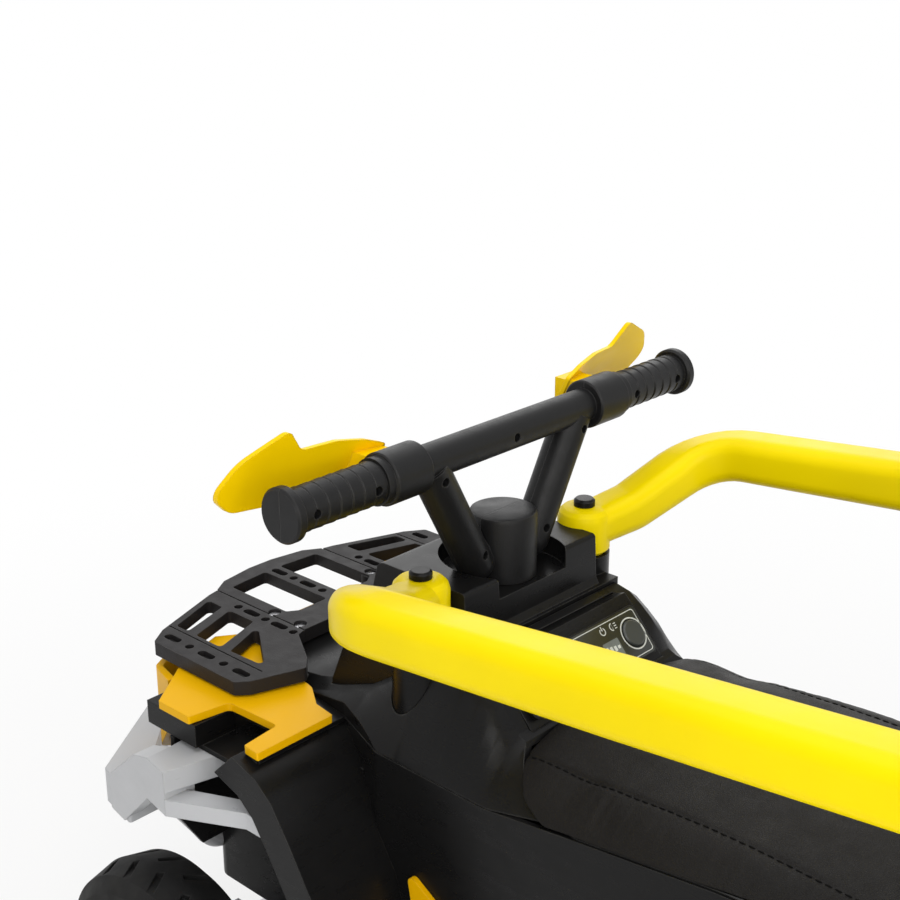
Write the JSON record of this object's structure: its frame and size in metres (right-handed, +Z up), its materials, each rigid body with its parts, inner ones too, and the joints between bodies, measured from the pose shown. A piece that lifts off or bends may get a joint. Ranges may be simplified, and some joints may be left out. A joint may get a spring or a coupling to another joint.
{
  "type": "kids quad bike",
  "caption": "Battery ride-on quad with a steered handlebar, swing-out guard rails beside a padded saddle, rack, bumper and driven rear wheel.",
  "frame": {"origin": "on the floor under the middle of the object's bounding box", "axes": "+X forward along the quad, +Y to the rider's left, +Z up"},
  "size_m": [0.747, 0.454, 0.5647],
  "materials": {
    "black_plastic": "satin moulded black plastic",
    "yellow_plastic": "glossy yellow plastic",
    "grey_plastic": "satin silver-grey plastic",
    "rim_plastic": "satin grey plastic",
    "gear_plastic": "pale nylon",
    "steel": "zinc plated steel",
    "tyre": "matt black tyre",
    "seat_cover": "black grained leather-look cover",
    "lens": "clear lamp lens"
  },
  "bodies": {
    "chassis": {"chassis_tub": "black_plastic", "tank_cover": "black_plastic", "dash_tower": "black_plastic", "control_panel": "black_plastic", "front_rack": "black_plastic", "rack_bolts": "steel", "fender_plate_left": "yellow_plastic", "fender_plate_right": "yellow_plastic", "leg_shield_left": "black_plastic", "leg_shield_right": "black_plastic", "front_bumper": "grey_plastic", "nose_cowl": "yellow_plastic", "headlight_left": "lens", "headlight_right": "lens", "side_trim_left": "yellow_plastic", "side_trim_right": "yellow_plastic", "footrest_left": "black_plastic", "footrest_right": "black_plastic", "rear_fender_left": "black_plastic", "rear_fender_right": "black_plastic", "backrest": "black_plastic", "seat_base": "black_plastic", "seat_pad": "seat_cover", "battery": "black_plastic", "charging_socket": "black_plastic", "gearbox_case": "black_plastic", "gearbox_cover": "black_plastic", "motor": "steel", "rear_axle": "steel", "rear_axle_nuts": "steel", "front_axle_beam": "steel", "rail_pins": "black_plastic"},
    "handlebar": {"handlebar_front_shell": "black_plastic", "handlebar_rear_shell": "black_plastic", "handlebar_screws": "steel", "handguard_left": "yellow_plastic", "handguard_right": "yellow_plastic", "steering_shaft": "steel"},
    "left_knuckle": {"knuckle_left": "steel", "front_nut_left": "steel"},
    "right_knuckle": {"knuckle_right": "steel", "front_nut_right": "steel"},
    "tie": {"tie_rod": "steel"},
    "front_left_wheel": {"tyre_front_left": "tyre", "wheel_front_left": "rim_plastic"},
    "front_right_wheel": {"tyre_front_right": "tyre", "wheel_front_right": "rim_plastic"},
    "rear_left_wheel": {"tyre_rear_left": "tyre", "wheel_rear_left": "rim_plastic"},
    "rear_right_wheel": {"tyre_rear_right": "tyre", "wheel_rear_right": "rim_plastic", "drive_gear": "gear_plastic"},
    "idler": {"idler_gear": "gear_plastic"},
    "pinion": {"motor_pinion": "gear_plastic"},
    "left_rail": {"rail_left": "yellow_plastic"},
    "right_rail": {"rail_right": "yellow_plastic"},
    "power_key": {"power_button": "black_plastic"},
    "horn_key": {"horn_button": "black_plastic"},
    "rocker": {"direction_rocker": "black_plastic"},
    "pedal": {"foot_pedal": "black_plastic"}
  },
  "joints": [
    {"name": "steer", "type": "hinge", "parent": "chassis", "child": "handlebar", "pos_m": [0.095, 0, 0.3], "axis": [0, 0, 1], "range_deg": [-25, 25]},
    {"name": "left_knuckle_turn", "type": "hinge", "parent": "chassis", "child": "left_knuckle", "pos_m": [0.255, 0.14, 0.098], "axis": [0, 0, 1], "range_deg": [-25, 25]},
    {"name": "right_knuckle_turn", "type": "hinge", "parent": "chassis", "child": "right_knuckle", "pos_m": [0.255, -0.14, 0.098], "axis": [0, 0, 1], "range_deg": [-25, 25]},
    {"name": "tie_slide", "type": "slide", "parent": "chassis", "child": "tie", "axis": [0, 1, 0], "range_m": [-0.01902, 0.01902]},
    {"name": "front_left_spin", "type": "hinge", "parent": "left_knuckle", "child": "front_left_wheel", "pos_m": [0.255, 0.195, 0.098], "axis": [0, 1, 0], "continuous": true},
    {"name": "front_right_spin", "type": "hinge", "parent": "right_knuckle", "child": "front_right_wheel", "pos_m": [0.255, -0.195, 0.098], "axis": [0, 1, 0], "continuous": true},
    {"name": "rear_left_spin", "type": "hinge", "parent": "chassis", "child": "rear_left_wheel", "pos_m": [-0.235, 0.195, 0.098], "axis": [0, 1, 0], "continuous": true},
    {"name": "rear_right_spin", "type": "hinge", "parent": "chassis", "child": "rear_right_wheel", "pos_m": [-0.235, -0.195, 0.098], "axis": [0, 1, 0], "continuous": true},
    {"name": "idler_spin", "type": "hinge", "parent": "chassis", "child": "idler", "pos_m": [-0.1975, -0.14, 0.098], "axis": [0, 1, 0], "continuous": true},
    {"name": "pinion_spin", "type": "hinge", "parent": "chassis", "child": "pinion", "pos_m": [-0.175, -0.13, 0.098], "axis": [0, 1, 0], "continuous": true},
    {"name": "left_rail_swing", "type": "hinge", "parent": "chassis", "child": "left_rail", "pos_m": [0.091, 0.088, 0.43], "axis": [0, 0, -1], "range_deg": [0, 60]},
    {"name": "right_rail_swing", "type": "hinge", "parent": "chassis", "child": "right_rail", "pos_m": [0.091, -0.088, 0.43], "axis": [0, 0, 1], "range_deg": [0, 60]},
    {"name": "power_press", "type": "slide", "parent": "chassis", "child": "power_key", "axis": [0.7574, 0, -0.6529], "range_m": [0, 0.0025], "stiffness_N_per_m": 400, "springref_m": -0.0015},
    {"name": "horn_press", "type": "slide", "parent": "chassis", "child": "horn_key", "axis": [0.7574, 0, -0.6529], "range_m": [0, 0.0025], "stiffness_N_per_m": 400, "springref_m": -0.0015},
    {"name": "direction_tilt", "type": "hinge", "parent": "chassis", "child": "rocker", "pos_m": [0.02113, 0.036, 0.37537], "axis": [0, 1, 0], "range_deg": [-8, 8]},
    {"name": "pedal_press", "type": "hinge", "parent": "chassis", "child": "pedal", "pos_m": [-0.033, -0.165, 0.11], "axis": [0, 1, 0], "range_deg": [0, 10], "stiffness_Nm_per_rad": 2, "springref_deg": -8.59}
  ],
  "couplings": [
    {"joint": "left_knuckle_turn", "follows": "steer", "ratio": 1},
    {"joint": "right_knuckle_turn", "follows": "steer", "ratio": 1},
    {"joint": "tie_slide", "follows": "steer", "m_per_rad": -0.043586},
    {"joint": "idler_spin", "follows": "rear_right_spin", "ratio": -4},
    {"joint": "pinion_spin", "follows": "rear_right_spin", "ratio": 16}
  ]
}
